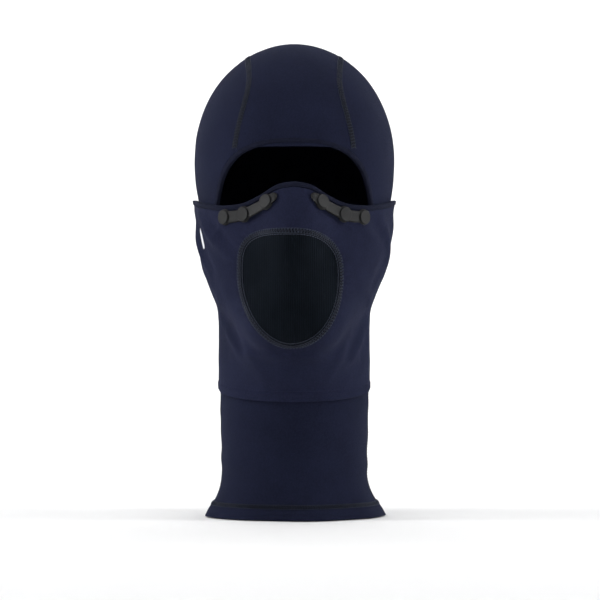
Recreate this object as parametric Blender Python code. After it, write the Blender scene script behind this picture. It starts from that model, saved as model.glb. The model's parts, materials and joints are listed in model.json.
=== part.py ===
"""A hinged ski balaclava: a hood and neck tube, with a face mask sewn on at the ears.

It is modelled in the shape it takes when it is worn. Metres, +Z up. The origin is midway
between the ears, the face looks along -Y, and +X is the wearer's left.
"""

import math

import bmesh
import bpy
import numpy as np
from mathutils import Matrix, Vector

MM = 0.001

# The form that the cloth is stretched over: centre and radii of each rounded volume, in mm.
SKULL = ((0, 4, 42), (75, 96, 87))
FACE = ((0, -22, -16), (65, 68, 68))
CHIN = ((0, -52, -68), (28, 36, 28))
NOSE = ((0, -86, -16), (17, 24, 28))
THROAT = ((0, -14, -106), (36, 44, 26))
JAW_ANGLE, JAW_FRONT, JAW_RADIUS = (45, -3, -36), (16, -68, -81), 14  # the jaw's lower edge
BLEND = 8.0 * MM  # how softly the volumes run into each other
CROWN_Z = 42 * MM  # above this height the cloth is a dome round the skull's centre

# The neck under it: height, centre behind the ears, half width and half depth, in mm.
NECK_TOP = 0
NECK_STATIONS = (
    (-40, 14, 54, 57),
    (-110, 19, 55, 58),
    (-160, 23, 55, 57),
    (-208, 28, 55, 57),
    (-235, 31, 68, 66),
)

# Cloth layers, as distances outwards from the form.
HOOD_INSIDE, HOOD_OUTSIDE = 0.0, 2.0 * MM
THREAD_INSIDE, THREAD_OUTSIDE = 2.6 * MM, 3.2 * MM
MASK_INSIDE, MASK_OUTSIDE = 4.0 * MM, 5.8 * MM
MASK_THREAD_INSIDE, MASK_THREAD_OUTSIDE = 6.6 * MM, 7.2 * MM
GAP = 0.3 * MM  # left between pieces that touch

# Face opening of the hood, from the brow to under the chin.
OPENING_HALF_ANGLE = math.radians(46)
OPENING_TOP, OPENING_BOTTOM = 54 * MM, -104 * MM
OPENING_SQUARENESS = 2.5
BROW_CORNER, JAW_CORNER = 0.19, 0.84  # where seams meet the opening, 0 at the brow, 1 at the chin
BINDING_WIDTH = 4.0 * MM

# Seams of the hood and neck.
CROWN_SEAM = ((40, -72, 104), (43, 0, 136), (42, 66, 112), (37, 98, 50), (31, 92, -10))
NAPE_END = (27, 72, -70)
CROWN_SEAM_CORNER = 4  # the point of the seam where the side panel turns its upper rear corner
NECK_TUBE_BOTTOM, HEM_BOTTOM = -223 * MM, -235 * MM
SEAM_WIDTH = 4.5 * MM

# The mask: height of its top edge at each angle from the middle, in degrees and mm.
MASK_TOP = ((0, 17), (7, 14.5), (15, 6.5), (24, 1), (36, 0), (52, 2), (70, 5), (84, 6))
MASK_SIDE_ANGLE = math.radians(84)
MASK_BOTTOM_MIDDLE, MASK_BOTTOM_SIDE = -136 * MM, -128 * MM
MASK_HEM_WIDTH = 8 * MM

# The ribbed mouth panel set into the mask, and its cover stitch.
MOUTH_CENTRE = (-3 * MM, -49 * MM)
MOUTH_HALF_WIDTH = 38 * MM
MOUTH_UP, MOUTH_DOWN = 33 * MM, 52.5 * MM
MOUTH_UP_CORNERS, MOUTH_DOWN_CORNERS = (3.6, 2.6), (1.85, 2.15)  # right and left; 2 is an ellipse
COVER_STITCH_MIDDLE, COVER_STITCH_WIDTH = 0.4 * MM, 3.6 * MM  # outwards from the outline
NEEDLE_MIDDLE, NEEDLE_WIDTH = -2.3 * MM, 0.9 * MM

# Magnet strips along the mask's top edge, and the round pads that hold the magnets.
STRIP_START, STRIP_END = math.radians(6.5), math.radians(37)
STRIP_WIDTH, STRIP_THICKNESS = 9.0 * MM, 1.4 * MM
PAD_ANGLES = (11, 22, 33)  # degrees from the middle
PAD_RADIUS, PAD_HEIGHT, PAD_SINK = 5.4 * MM, 2.5 * MM, 1.1 * MM
PAD_FOOT, HOLLOW_FOOT = 0.4 * MM, -2 * MM  # where a pad and the hollow behind it start
MAGNET_RADIUS, MAGNET_THICKNESS = 4.0 * MM, 1.0 * MM

# Small pieces.
MARK_LENGTH, MARK_WIDTH, MARK_TILT = 17 * MM, 5 * MM, math.radians(24)
MARK_ANGLE, MARK_HEIGHT = math.radians(-60), -20 * MM
LABEL_WIDTH, LABEL_LENGTH, LABEL_THICKNESS = 28 * MM, 42 * MM, 0.6 * MM
LABEL_TOP = -112 * MM

# Distances from the axis to the cloth, to turn a length along it into an angle.
EYE_REACH, FRONT_REACH, CHEEK_REACH = 90 * MM, 85 * MM, 80 * MM
SIDE_REACH, NAPE_REACH = 70 * MM, 60 * MM

# Colours, roughness: linear RGB.
COLOURS = {
    "hood_jersey": ((0.012, 0.014, 0.030), 0.90),
    "mask_fleece": ((0.016, 0.019, 0.040), 0.92),
    "mouth_rib": ((0.008, 0.010, 0.015), 0.90),
    "thread": ((0.035, 0.040, 0.055), 0.60),
    "binding": ((0.010, 0.011, 0.020), 0.75),
    "soft_plastic": ((0.010, 0.010, 0.012), 0.45),
    "magnet_metal": ((0.55, 0.55, 0.56), 0.30),
    "reflective_print": ((0.75, 0.76, 0.78), 0.35),
    "label_satin": ((0.70, 0.70, 0.68), 0.50),
}


# ---------------------------------------------------------------- the head form


def oval_distance(points, centre, radii):
    """Distance outside an ellipsoid given in mm."""
    radii = np.array(radii) * MM
    scaled = (points - np.array(centre) * MM) / radii
    reach = np.linalg.norm(scaled, axis=1) + 1e-9
    slope = np.linalg.norm(scaled / radii, axis=1) + 1e-9
    return reach * (reach - 1) / slope


def jaw_distance(points):
    """Distance outside the rounded bar under each cheek, from the jaw's angle to the chin."""
    one_side = np.column_stack([np.abs(points[:, 0]), points[:, 1:]])
    back, front = np.array(JAW_ANGLE) * MM, np.array(JAW_FRONT) * MM
    bar = front - back
    share = np.clip((one_side - back) @ bar / (bar @ bar), 0, 1)
    return np.linalg.norm(one_side - back - share[:, None] * bar, axis=1) - JAW_RADIUS * MM


def neck_distance(points):
    """Distance outside the neck, whose upper end is inside the head."""
    centre_y, half_width, half_depth = neck_section(points[:, 2])
    across = np.hypot(points[:, 0] / half_width, (points[:, 1] - centre_y) / half_depth)
    return np.maximum((across - 1) * np.minimum(half_width, half_depth), points[:, 2] - NECK_TOP * MM)


def neck_section(height):
    """Centre, half width and half depth of the neck at each height."""
    stations = smooth_through(NECK_STATIONS[::-1], 60) * MM
    return [np.interp(height, stations[:, 0], stations[:, i]) for i in (1, 2, 3)]


def form_distance(points):
    """Distance of each point outside the form, negative inside."""
    volumes = [oval_distance(points, *volume) for volume in (SKULL, FACE, CHIN, NOSE, THROAT)]
    volumes += [jaw_distance(points), neck_distance(points)]
    return -BLEND * np.log(sum(np.exp(-distance / BLEND) for distance in volumes))


def form_normal(points, step):
    """The way out of the form at each point, from how the distance changes over a step."""
    slopes = [form_distance(points + step * axis) - form_distance(points - step * axis) for axis in np.eye(3)]
    normal = np.stack(slopes, axis=1)
    return normal / np.linalg.norm(normal, axis=1)[:, None]


def axis_y(height):
    """The line inside head and neck that every point is projected away from."""
    return np.interp(height, (-0.235, -0.130, -0.050), (0.030, 0.018, 0.004))


def on_form(points, distance):
    """Push points away from the axis, or off the skull's centre, until they lie at distance."""
    points = np.asarray(points, float).reshape(-1, 3)
    height = np.minimum(points[:, 2], CROWN_Z)
    start = np.stack([np.zeros_like(height), axis_y(height), height], axis=1)
    away = points - start
    away /= np.linalg.norm(away, axis=1)[:, None]
    near, far = np.full(len(points), 0.01), np.full(len(points), 0.18)
    for _ in range(40):
        middle = (near + far) / 2
        inside = form_distance(start + away * middle[:, None]) < distance
        near, far = np.where(inside, middle, near), np.where(inside, far, middle)
    return start + away * near[:, None]


def around(angle, height):
    """A point outside the form at an angle from the front, towards +X, and a height."""
    angle, height = np.broadcast_arrays(np.asarray(angle, float), np.asarray(height, float))
    return np.stack([np.sin(angle) * 0.1, axis_y(height) - np.cos(angle) * 0.1, height], axis=-1)


# ---------------------------------------------------------------- curves


def smooth_through(points, count):
    """Points at equal parameter steps on a smooth curve through the given ones."""
    points = np.asarray(points, float)
    padded = np.vstack([2 * points[0] - points[1], points, 2 * points[-1] - points[-2]])
    steps = np.linspace(0, len(points) - 1, count)
    index = np.minimum(steps.astype(int), len(points) - 2)
    t = (steps - index)[:, None]
    a, b, c, d = (padded[index + i] for i in range(4))
    bend, twist = 2 * a - 5 * b + 4 * c - d, 3 * b - a - 3 * c + d
    return 0.5 * (2 * b + (c - a) * t + bend * t**2 + twist * t**3)


def power(value, exponent):
    """A signed power, for squared-off ovals."""
    return np.sign(value) * np.abs(value) ** exponent


def opening_edge(t, inset=0.0):
    """Angle and height of the face opening's edge: t is 0 at the brow, 1 at the chin."""
    turn = math.pi * (0.5 - np.asarray(t, float))
    middle, half = (OPENING_TOP + OPENING_BOTTOM) / 2, (OPENING_TOP - OPENING_BOTTOM) / 2
    angle = (OPENING_HALF_ANGLE - inset / EYE_REACH) * power(np.cos(turn), 2 / OPENING_SQUARENESS)
    return angle, middle + (half - inset) * power(np.sin(turn), 2 / OPENING_SQUARENESS)


def crown_seam(count_upper, count_rear):
    """The seam on the +X side from the brow to the split, and from there to the nape."""
    rough = [around(*opening_edge(BROW_CORNER))] + [np.array(p) * MM for p in CROWN_SEAM + (NAPE_END,)]
    line = smooth_through(on_form(rough, 0), 400)
    corner = 399 * CROWN_SEAM_CORNER // (len(rough) - 1)
    return resample(line[: corner + 1], count_upper), resample(line[corner:], count_rear)


def resample(points, count):
    """The same line with its points at equal distances."""
    steps = np.linalg.norm(np.diff(points, axis=0), axis=1)
    along = np.concatenate([[0], np.cumsum(steps)])
    wanted = np.linspace(0, along[-1], count)
    return np.stack([np.interp(wanted, along, points[:, i]) for i in range(3)], axis=1)


def nape_angle():
    nape = on_form(np.array(NAPE_END) * MM, 0)[0]
    return math.atan2(nape[0], axis_y(nape[2]) - nape[1])


def neck_seam_height(angle):
    """Height of the top of the neck tube: the opening's edge in front, the neck seam behind."""
    angle = np.abs(np.asarray(angle, float))
    edge_angle, edge_height = opening_edge(np.linspace(JAW_CORNER, 1, 60))
    seam = np.interp(angle, (edge_angle[0], nape_angle()), (edge_height[0], NAPE_END[2] * MM))
    return np.where(angle < edge_angle[0], np.interp(angle, edge_angle[::-1], edge_height[::-1]), seam)


def mask_top_height(angle):
    """Height of the mask's top edge at each angle, the same on both sides."""
    table = smooth_through(np.array(MASK_TOP, float), 200)
    return np.interp(np.abs(angle), np.radians(table[:, 0]), table[:, 1] * MM)


def mask_bottom_height(angle):
    share = (np.asarray(angle) / MASK_SIDE_ANGLE) ** 2
    return MASK_BOTTOM_MIDDLE + (MASK_BOTTOM_SIDE - MASK_BOTTOM_MIDDLE) * share


def mouth_edge(turn, grow=0.0):
    """x and z of the mouth panel's outline in each direction, grown outwards by a distance."""
    turn = np.asarray(turn, float)
    up, left = np.sin(turn) > 0, (np.cos(turn) > 0).astype(int)
    squareness = np.where(up, np.take(MOUTH_UP_CORNERS, left), np.take(MOUTH_DOWN_CORNERS, left))
    half_height = np.where(up, MOUTH_UP, MOUTH_DOWN) + grow
    across = np.abs(np.cos(turn) / (MOUTH_HALF_WIDTH + grow)) ** squareness
    upright = np.abs(np.sin(turn) / half_height) ** squareness
    radius = (across + upright) ** (-1 / squareness)
    return MOUTH_CENTRE[0] + radius * np.cos(turn), MOUTH_CENTRE[1] + radius * np.sin(turn)


def front_angle(x, height):
    """The angle at which the form has this x at this height, seen from the front."""
    x, height = np.asarray(x, float).ravel(), np.asarray(height, float).ravel()
    low, high = np.zeros_like(x), np.full_like(x, math.radians(75))
    for _ in range(30):
        middle = (low + high) / 2
        short = on_form(around(middle, height), MASK_INSIDE)[:, 0] < np.abs(x)
        low, high = np.where(short, middle, low), np.where(short, high, middle)
    return np.sign(x) * low


def mouth_loop(turn, grow=0.0):
    """Angle and height of the mouth panel's outline on the face."""
    x, z = mouth_edge(turn, grow)
    return front_angle(x, z), z


# ---------------------------------------------------------------- building solids


def material(name):
    """A Principled material of this name, made once."""
    if name in bpy.data.materials:
        return bpy.data.materials[name]
    colour, roughness = COLOURS[name]
    made = bpy.data.materials.new(name)
    made.use_nodes = True
    shader = made.node_tree.nodes["Principled BSDF"]
    shader.inputs["Base Color"].default_value = (*colour, 1.0)
    shader.inputs["Roughness"].default_value = roughness
    shader.inputs["Metallic"].default_value = 1.0 if name == "magnet_metal" else 0.0
    return made


def add_object(name, bm, material_name, sharp_angle=50):
    """Turn a bmesh into a named object, shaded smooth, with its normals out."""
    bmesh.ops.recalc_face_normals(bm, faces=bm.faces)
    if bm.calc_volume(signed=True) < 0:
        bmesh.ops.reverse_faces(bm, faces=bm.faces)
    mesh = bpy.data.meshes.new(name)
    bm.to_mesh(mesh)
    bm.free()
    mesh.shade_smooth()
    mesh.set_sharp_from_angle(angle=math.radians(sharp_angle))
    mesh.materials.append(material(material_name))
    made = bpy.data.objects.new(name, mesh)
    bpy.context.scene.collection.objects.link(made)
    return made


def pull_in_edges(grid, gap, closed):
    """Move the outer rows, and the outer columns of an open grid, inwards by the gap."""
    pulled = grid.copy()
    borders = [(0, 1), (-1, -2)]
    for edge, beside in borders:
        step = grid[beside] - grid[edge]
        pulled[edge] += step / np.linalg.norm(step, axis=-1, keepdims=True) * gap
    if not closed:
        for edge, beside in borders:
            step = grid[:, beside] - grid[:, edge]
            pulled[:, edge] += step / np.linalg.norm(step, axis=-1, keepdims=True) * gap
    return pulled


def cloth(name, grid, inside, outside, material_name, closed=False, gap=GAP):
    """A layer of cloth between two distances from the form, over a grid of points on it."""
    rows, columns = grid.shape[:2]
    on_surface = on_form(grid, inside).reshape(rows, columns, 3)
    on_surface = pull_in_edges(on_surface, gap, closed)
    bm = bmesh.new()
    layers = []
    for distance in (inside, outside):
        points = on_form(on_surface, distance)
        layers.append(np.array([bm.verts.new(p) for p in points]).reshape(rows, columns))
    inner, outer = layers
    last = columns if closed else columns - 1
    for r in range(rows - 1):
        for c in range(last):
            n = (c + 1) % columns
            bm.faces.new((outer[r, c], outer[r, n], outer[r + 1, n], outer[r + 1, c]))
            bm.faces.new((inner[r, c], inner[r + 1, c], inner[r + 1, n], inner[r, n]))
    for r in (0, rows - 1):
        for c in range(last):
            n = (c + 1) % columns
            bm.faces.new((inner[r, c], inner[r, n], outer[r, n], outer[r, c]))
    if not closed:
        for c in (0, columns - 1):
            for r in range(rows - 1):
                bm.faces.new((inner[r, c], inner[r + 1, c], outer[r + 1, c], outer[r, c]))
    return add_object(name, bm, material_name)


def ribbon_grid(path, width):
    """Two rows of points either side of a path on the form."""
    path = on_form(path, 0)
    along = np.gradient(path, axis=0)
    across = np.cross(along, form_normal(path, 0.5 * MM))
    across /= np.linalg.norm(across, axis=1)[:, None]
    return np.stack([path - across * width / 2, path + across * width / 2])


def grid_between(first, second, rows):
    """Rows of angle and height from one line to another, as points round the form."""
    share = np.linspace(0, 1, rows)[:, None]
    angle = first[0] * (1 - share) + second[0] * share
    height = first[1] * (1 - share) + second[1] * share
    return around(angle, height)


def mirrored(points):
    return points * np.array([-1, 1, 1])


# ---------------------------------------------------------------- the hood and neck


UPPER_CELLS, REAR_CELLS = 11, 10
NECK_ROWS, NECK_COLUMNS = 9, 17


def make_crown_panel():
    """The strip from the brow over the head to the nape."""
    upper, rear = crown_seam(UPPER_CELLS + 1, REAR_CELLS + 1)
    seam = np.vstack([upper, rear[1:]])
    share = np.linspace(-1, 1, 8)
    grid = seam[:, None, :] * np.array([0, 1, 1]) + (seam[:, None, :] * [1, 0, 0]) * share[:, None]
    brow_angle, _ = opening_edge(BROW_CORNER)
    grid[0] = around(brow_angle * share, brow_height(brow_angle * share))
    grid[-1] = around(math.pi + (nape_angle() - math.pi) * share, NAPE_END[2] * MM)
    return cloth("crown_panel", grid, HOOD_INSIDE, HOOD_OUTSIDE, "hood_jersey")


def brow_height(angle):
    edge_angle, edge_height = opening_edge(np.linspace(0, BROW_CORNER, 60))
    return np.interp(np.abs(angle), edge_angle, edge_height)


def side_panel_grid():
    """The +X side of the hood, between the opening, the crown seam and the neck seam."""
    upper, rear = crown_seam(UPPER_CELLS + 1, REAR_CELLS + 1)
    t = np.linspace(JAW_CORNER, BROW_CORNER, REAR_CELLS + 1)
    front = on_form(around(*opening_edge(t)), 0)
    jaw_angle, _ = opening_edge(JAW_CORNER)
    angle = np.linspace(jaw_angle, nape_angle(), UPPER_CELLS + 1)
    bottom = on_form(around(angle, neck_seam_height(angle)), 0)
    back, top = rear[::-1], upper
    u = np.linspace(0, 1, UPPER_CELLS + 1)[None, :, None]
    v = np.linspace(0, 1, REAR_CELLS + 1)[:, None, None]
    ruled = (1 - v) * bottom[None] + v * top[None] + (1 - u) * front[:, None] + u * back[:, None]
    corners = (1 - u) * ((1 - v) * bottom[0] + v * top[0]) + u * ((1 - v) * bottom[-1] + v * top[-1])
    return ruled - corners


def make_hood_side(side, name):
    grid = side_panel_grid()
    grid = grid if side > 0 else mirrored(grid)
    return cloth(name, grid, HOOD_INSIDE, HOOD_OUTSIDE, "hood_jersey")


def make_neck(name, first_angle, last_angle):
    """Half of the neck tube, from the neck seam down to the hem."""
    angle = np.linspace(first_angle, last_angle, NECK_COLUMNS)
    folded = np.abs((angle + math.pi) % (2 * math.pi) - math.pi)
    bottom = np.full(NECK_COLUMNS, NECK_TUBE_BOTTOM)
    grid = grid_between((angle, neck_seam_height(folded)), (angle, bottom), NECK_ROWS)
    return cloth(name, grid, HOOD_INSIDE, HOOD_OUTSIDE, "hood_jersey")


def ring_angles(count):
    return np.arange(count) / count * 2 * math.pi


def make_neck_hem():
    """The turned-up hem: twice the cloth's thickness round the bottom of the neck tube."""
    angle = ring_angles(40)
    top, bottom = np.full(40, NECK_TUBE_BOTTOM), np.full(40, HEM_BOTTOM)
    grid = grid_between((angle, top), (angle, bottom), 3)
    return cloth("neck_hem", grid, HOOD_INSIDE, THREAD_OUTSIDE, "hood_jersey", closed=True)


def make_face_binding():
    """The elastic binding round the face opening."""
    t = np.arange(64) / 64 * 2
    folded = np.where(t > 1, 2 - t, t)
    side = np.where(t > 1, -1, 1)
    rows = []
    for inset in (2 * GAP, BINDING_WIDTH):
        angle, height = opening_edge(folded, inset)
        rows.append(around(angle * side, height))
    outside = HOOD_OUTSIDE + 2 * GAP
    return cloth("face_binding", np.array(rows), HOOD_INSIDE, outside, "binding", closed=True)


def make_crown_thread(side, name):
    """Flatlock stitching over the crown seam."""
    upper, rear = crown_seam(19, 15)
    path = np.vstack([upper, rear[1:]])[1:-1]
    grid = ribbon_grid(path if side > 0 else mirrored(path), SEAM_WIDTH)
    return cloth(name, grid, THREAD_INSIDE, THREAD_OUTSIDE, "thread")


def make_neck_seam_thread():
    """Flatlock stitching where the hood joins the neck tube, from one jaw round to the other."""
    jaw_angle, _ = opening_edge(JAW_CORNER)
    start = jaw_angle + math.radians(5)
    angle = np.linspace(start, 2 * math.pi - start, 44)
    folded = np.minimum(angle, 2 * math.pi - angle)
    grid = ribbon_grid(around(angle, neck_seam_height(folded)), SEAM_WIDTH)
    return cloth("neck_seam_thread", grid, THREAD_INSIDE, THREAD_OUTSIDE, "thread")


def make_neck_side_thread(side, name):
    """Flatlock stitching down the side of the neck tube."""
    angle = side * math.pi / 2
    height = np.linspace(neck_seam_height(angle), NECK_TUBE_BOTTOM, NECK_ROWS)
    height[0] -= SEAM_WIDTH
    grid = ribbon_grid(around(np.full(NECK_ROWS, angle), height), SEAM_WIDTH)
    return cloth(name, grid, THREAD_INSIDE, THREAD_OUTSIDE, "thread")


def make_hem_thread():
    """The row of cover stitch above the neck hem."""
    angle = ring_angles(40)
    top, bottom = NECK_TUBE_BOTTOM - 2 * MM, NECK_TUBE_BOTTOM - 6 * MM
    grid = grid_between((angle, np.full(40, top)), (angle, np.full(40, bottom)), 2)
    return cloth("hem_thread", grid, THREAD_OUTSIDE + GAP, THREAD_OUTSIDE + 3 * GAP, "thread", closed=True)


def make_mask_side_thread(side, name):
    """Flatlock stitching that holds the mask's side edge to the hood."""
    height = np.linspace(mask_top_height(MASK_SIDE_ANGLE), MASK_BOTTOM_SIDE, 20)
    angle = side * (MASK_SIDE_ANGLE + (SEAM_WIDTH / 2 + 2 * GAP) / SIDE_REACH)
    grid = ribbon_grid(around(np.full(20, angle), height), SEAM_WIDTH)
    return cloth(name, grid, THREAD_OUTSIDE + GAP, MASK_OUTSIDE, "thread")


def make_care_label():
    """A blank label sewn in at the nape: it hangs from its top edge, where its origin is."""
    corner = on_form(around(math.pi - LABEL_WIDTH / 2 / NAPE_REACH, LABEL_TOP), HOOD_INSIDE)[0]
    hinge_y = corner[1] - LABEL_THICKNESS / 2 - 2 * GAP
    bm = bmesh.new()
    bmesh.ops.create_cube(bm, size=1)
    bmesh.ops.scale(bm, vec=(LABEL_WIDTH, LABEL_THICKNESS, LABEL_LENGTH), verts=bm.verts)
    bmesh.ops.translate(bm, vec=(0, 0, -LABEL_LENGTH / 2), verts=bm.verts)
    label = add_object("care_label", bm, "label_satin")
    label.location = (0, hinge_y, LABEL_TOP)
    return label


# ---------------------------------------------------------------- the mask


def mask_outline(cells=3):
    """Angle and height round the mask's edge, from the middle of the top, over +X, and back."""
    top_angle = np.linspace(0, MASK_SIDE_ANGLE, 5 * cells + 1)[:-1]
    side = np.linspace(mask_top_height(MASK_SIDE_ANGLE), MASK_BOTTOM_SIDE, 3 * cells + 1)[:-1]
    bottom_angle = np.linspace(MASK_SIDE_ANGLE, 0, 4 * cells + 1)
    angle = np.concatenate([top_angle, np.full(len(side), MASK_SIDE_ANGLE), bottom_angle])
    height = np.concatenate([mask_top_height(top_angle), side, mask_bottom_height(bottom_angle)])
    return np.concatenate([angle, -angle[-2:0:-1]]), np.concatenate([height, height[-2:0:-1]])


def make_mask_shell():
    """The stretch fleece of the mask, with the hole for the mouth panel."""
    angle, height = mask_outline()
    turn = np.arctan2(height - MOUTH_CENTRE[1], angle * FRONT_REACH - MOUTH_CENTRE[0])
    grid = grid_between(mouth_loop(turn), (angle, height), 8)
    return cloth("mask_shell", grid, MASK_INSIDE, MASK_OUTSIDE, "mask_fleece", closed=True)


def make_mouth_panel():
    """The ribbed panel, a disc of rings that close on its middle."""
    count = 40
    turn = ring_angles(count)
    bm = bmesh.new()
    shares = (1.0, 0.75, 0.5, 0.25)
    layers = []
    for distance in (MASK_INSIDE, MASK_OUTSIDE):
        rings = []
        for share in shares:
            x, z = mouth_edge(turn, -GAP)
            x = MOUTH_CENTRE[0] + (x - MOUTH_CENTRE[0]) * share
            z = MOUTH_CENTRE[1] + (z - MOUTH_CENTRE[1]) * share
            rings.append([bm.verts.new(p) for p in on_form(around(front_angle(x, z), z), distance)])
        middle_angle = front_angle([MOUTH_CENTRE[0]], [MOUTH_CENTRE[1]])
        middle = bm.verts.new(on_form(around(middle_angle, MOUTH_CENTRE[1]), distance)[0])
        layers.append((rings, middle))
        for c in range(count):
            n = (c + 1) % count
            for outer, inner in zip(rings, rings[1:]):
                bm.faces.new((outer[c], outer[n], inner[n], inner[c]))
            bm.faces.new((rings[-1][c], rings[-1][n], middle))
    inside, outside = layers[0][0][0], layers[1][0][0]
    for c in range(count):
        n = (c + 1) % count
        bm.faces.new((inside[c], inside[n], outside[n], outside[c]))
    return add_object("mouth_panel", bm, "mouth_rib")


def make_mouth_thread(name, middle, width):
    """A ring of stitching round the mouth panel, its middle a distance outside the outline."""
    turn = ring_angles(48)
    edges = (middle - width / 2, middle + width / 2)
    grid = np.array([around(*mouth_loop(turn, edge)) for edge in edges])
    return cloth(name, grid, MASK_THREAD_INSIDE, MASK_THREAD_OUTSIDE, "thread", closed=True, gap=0)


def make_mask_top_binding():
    """The folded binding along the mask's top edge, from ear to ear."""
    angle = np.linspace(-MASK_SIDE_ANGLE, MASK_SIDE_ANGLE, 57)
    bottom = mask_top_height(angle)
    grid = grid_between((angle, bottom), (angle, bottom + BINDING_WIDTH), 2)
    return cloth("mask_top_binding", grid, MASK_INSIDE - GAP, MASK_OUTSIDE + GAP, "binding")


def make_mask_hem():
    """The turned hem along the mask's lower edge."""
    angle = np.linspace(-MASK_SIDE_ANGLE, MASK_SIDE_ANGLE, 33)
    top = mask_bottom_height(angle)
    grid = grid_between((angle, top), (angle, top - MASK_HEM_WIDTH), 2)
    return cloth("mask_hem", grid, MASK_INSIDE, MASK_OUTSIDE + 2 * GAP, "mask_fleece")


def strip_middle(angle):
    """Height of the middle of the magnet strip, just under the mask's top edge."""
    return mask_top_height(angle) - STRIP_WIDTH / 2 - GAP


def pad_place(angle):
    """The middle of a magnet pad on the mask's outer face, and the way it faces."""
    base = on_form(around(angle, strip_middle(angle)), MASK_OUTSIDE + GAP)
    return Vector(base[0]), Vector(form_normal(base, 3 * MM)[0])


def add_disc(name, place, facing, depths, radius, material_name="soft_plastic"):
    """A disc between two depths along the way it faces."""
    low, high = depths
    bm = bmesh.new()
    bmesh.ops.create_cone(bm, cap_ends=True, segments=24, radius1=radius, radius2=radius, depth=high - low)
    turn = facing.to_track_quat("Z", "Y").to_matrix().to_4x4()
    middle = place + facing * (low + high) / 2
    bmesh.ops.transform(bm, matrix=Matrix.Translation(middle) @ turn, verts=bm.verts)
    return add_object(name, bm, material_name, sharp_angle=30)


def combine(target, tool, operation):
    """A Boolean that keeps its tool as a hidden guide."""
    tool.hide_render = True
    tool.display_type = "WIRE"
    step = target.modifiers.new(f"{operation.lower()}_{tool.name}", "BOOLEAN")
    step.operation = operation
    step.solver = "EXACT"
    step.object = tool


def make_magnet_strip(side, name):
    """A soft moulded strip with round flat pads, hollowed from behind for the magnets."""
    angle = np.linspace(STRIP_START, STRIP_END, 17) * side
    middle = strip_middle(angle)
    half = STRIP_WIDTH / 2
    grid = grid_between((angle, middle + half), (angle, middle - half), 3)
    low = MASK_OUTSIDE + GAP
    strip = cloth(name, grid, low, low + STRIP_THICKNESS, "soft_plastic", gap=0)
    for number, degrees in enumerate(PAD_ANGLES, 1):
        place, facing = pad_place(side * math.radians(degrees))
        pad = add_disc(f"{name}_pad_{number}", place, facing, (PAD_FOOT, PAD_HEIGHT), PAD_RADIUS)
        combine(strip, pad, "UNION")
    for number, degrees in enumerate(PAD_ANGLES, 1):
        place, facing = pad_place(side * math.radians(degrees))
        depth = (HOLLOW_FOOT, PAD_SINK + MAGNET_THICKNESS / 2 + GAP)
        hollow = add_disc(f"{name}_hollow_{number}", place, facing, depth, MAGNET_RADIUS + GAP)
        combine(strip, hollow, "DIFFERENCE")
    return strip


def make_magnets(side, name):
    """The flat magnets that sit in the strip's pads."""
    for number, degrees in enumerate(PAD_ANGLES, 1):
        place, facing = pad_place(side * math.radians(degrees))
        depths = (PAD_SINK - MAGNET_THICKNESS / 2, PAD_SINK + MAGNET_THICKNESS / 2)
        add_disc(f"{name}_{number}", place, facing, depths, MAGNET_RADIUS, "magnet_metal")


def make_cheek_mark():
    """A plain slanting bar of reflective print on the wearer's right cheek."""
    along = np.linspace(-0.5, 0.5, 9)
    half = MARK_WIDTH / 2 * np.sqrt(np.clip(1 - (2 * np.abs(along)) ** 6, 0.05, 1))
    rows = []
    for side in (-1, 1):
        x = along * MARK_LENGTH * math.sin(MARK_TILT) + side * half * math.cos(MARK_TILT)
        z = along * MARK_LENGTH * -math.cos(MARK_TILT) + side * half * math.sin(MARK_TILT)
        rows.append(around(MARK_ANGLE + x / CHEEK_REACH, MARK_HEIGHT + z))
    outside = MASK_OUTSIDE + GAP
    return cloth("cheek_mark", np.array(rows), outside, outside + GAP, "reflective_print", gap=0)


# ---------------------------------------------------------------- the whole balaclava


def clear_scene():
    for old in list(bpy.data.objects):
        bpy.data.objects.remove(old, do_unlink=True)


def build_hood():
    make_crown_panel()
    make_neck("neck_front", -math.pi / 2, math.pi / 2)
    make_neck("neck_back", math.pi / 2, 3 * math.pi / 2)
    make_neck_hem()
    make_face_binding()
    make_neck_seam_thread()
    make_hem_thread()
    make_care_label()
    for side, word in ((1, "left"), (-1, "right")):
        make_hood_side(side, f"hood_side_{word}")
        make_crown_thread(side, f"crown_seam_thread_{word}")
        make_neck_side_thread(side, f"neck_side_thread_{word}")
        make_mask_side_thread(side, f"mask_side_thread_{word}")


def build_mask():
    make_mask_shell()
    make_mouth_panel()
    make_mouth_thread("mouth_cover_thread", COVER_STITCH_MIDDLE, COVER_STITCH_WIDTH)
    make_mouth_thread("mouth_needle_thread", NEEDLE_MIDDLE, NEEDLE_WIDTH)
    make_mask_top_binding()
    make_mask_hem()
    make_cheek_mark()
    for side, word in ((1, "left"), (-1, "right")):
        make_magnet_strip(side, f"magnet_strip_{word}")
        make_magnets(side, f"magnet_{word}")


clear_scene()
build_hood()
build_mask()
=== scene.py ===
"""The looks of the hinged ski balaclava: knit cloth, stitching, binding and magnet strips.

Every surface is stretched over the same head form as the frame. Metres, +Z up, the face looks along -Y.
"""

import json
import math

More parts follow.
